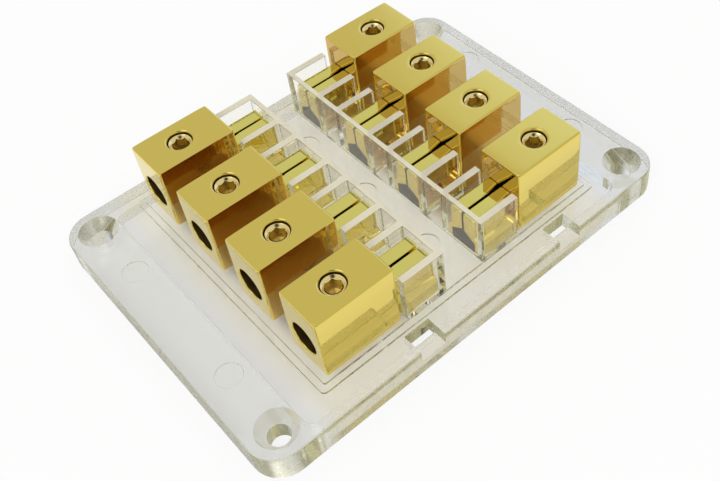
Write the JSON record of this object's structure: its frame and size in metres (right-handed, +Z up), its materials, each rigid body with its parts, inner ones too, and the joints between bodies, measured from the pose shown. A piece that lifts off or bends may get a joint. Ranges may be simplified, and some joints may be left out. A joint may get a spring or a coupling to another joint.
{
  "type": "fuse block",
  "caption": "Clear moulded fuse block with two facing rows of gold-finished terminals: slit jaws grip blade fuses and set screws clamp wires.",
  "frame": {"origin": "middle of the base's underside, on the surface that it is screwed to", "axes": "+X from the left row to the right row, +Y along the rows, +Z up out of the base"},
  "size_m": [0.102, 0.0746, 0.023],
  "materials": {
    "clear_plastic": "clear polished moulding",
    "gold": "mirror-polished gold plating on brass",
    "support": "dark grey moulding",
    "set_screw": "gold-plated steel, turned and broached",
    "fixing_screw": "bright zinc plating"
  },
  "bodies": {
    "block": {"base": "clear_plastic", "terminal_left_1": "gold", "terminal_left_2": "gold", "terminal_left_3": "gold", "terminal_left_4": "gold", "terminal_right_1": "gold", "terminal_right_2": "gold", "terminal_right_3": "gold", "terminal_right_4": "gold", "jaw_support_left_1": "support", "jaw_support_left_2": "support", "jaw_support_left_3": "support", "jaw_support_left_4": "support", "jaw_support_right_1": "support", "jaw_support_right_2": "support", "jaw_support_right_3": "support", "jaw_support_right_4": "support", "fixing_screw_left_1": "fixing_screw", "fixing_screw_left_2": "fixing_screw", "fixing_screw_left_3": "fixing_screw", "fixing_screw_left_4": "fixing_screw", "fixing_screw_right_1": "fixing_screw", "fixing_screw_right_2": "fixing_screw", "fixing_screw_right_3": "fixing_screw", "fixing_screw_right_4": "fixing_screw"},
    "set_screw_left_1": {"set_screw_left_1": "set_screw"},
    "set_screw_left_2": {"set_screw_left_2": "set_screw"},
    "set_screw_left_3": {"set_screw_left_3": "set_screw"},
    "set_screw_left_4": {"set_screw_left_4": "set_screw"},
    "set_screw_right_1": {"set_screw_right_1": "set_screw"},
    "set_screw_right_2": {"set_screw_right_2": "set_screw"},
    "set_screw_right_3": {"set_screw_right_3": "set_screw"},
    "set_screw_right_4": {"set_screw_right_4": "set_screw"}
  },
  "joints": [
    {"name": "set_screw_left_1_travel", "type": "slide", "parent": "block", "child": "set_screw_left_1", "axis": [0, 0, 1], "range_m": [-0.003, 0]},
    {"name": "set_screw_left_2_travel", "type": "slide", "parent": "block", "child": "set_screw_left_2", "axis": [0, 0, 1], "range_m": [-0.003, 0]},
    {"name": "set_screw_left_3_travel", "type": "slide", "parent": "block", "child": "set_screw_left_3", "axis": [0, 0, 1], "range_m": [-0.003, 0]},
    {"name": "set_screw_left_4_travel", "type": "slide", "parent": "block", "child": "set_screw_left_4", "axis": [0, 0, 1], "range_m": [-0.003, 0]},
    {"name": "set_screw_right_1_travel", "type": "slide", "parent": "block", "child": "set_screw_right_1", "axis": [0, 0, 1], "range_m": [-0.003, 0]},
    {"name": "set_screw_right_2_travel", "type": "slide", "parent": "block", "child": "set_screw_right_2", "axis": [0, 0, 1], "range_m": [-0.003, 0]},
    {"name": "set_screw_right_3_travel", "type": "slide", "parent": "block", "child": "set_screw_right_3", "axis": [0, 0, 1], "range_m": [-0.003, 0]},
    {"name": "set_screw_right_4_travel", "type": "slide", "parent": "block", "child": "set_screw_right_4", "axis": [0, 0, 1], "range_m": [-0.003, 0]}
  ]
}
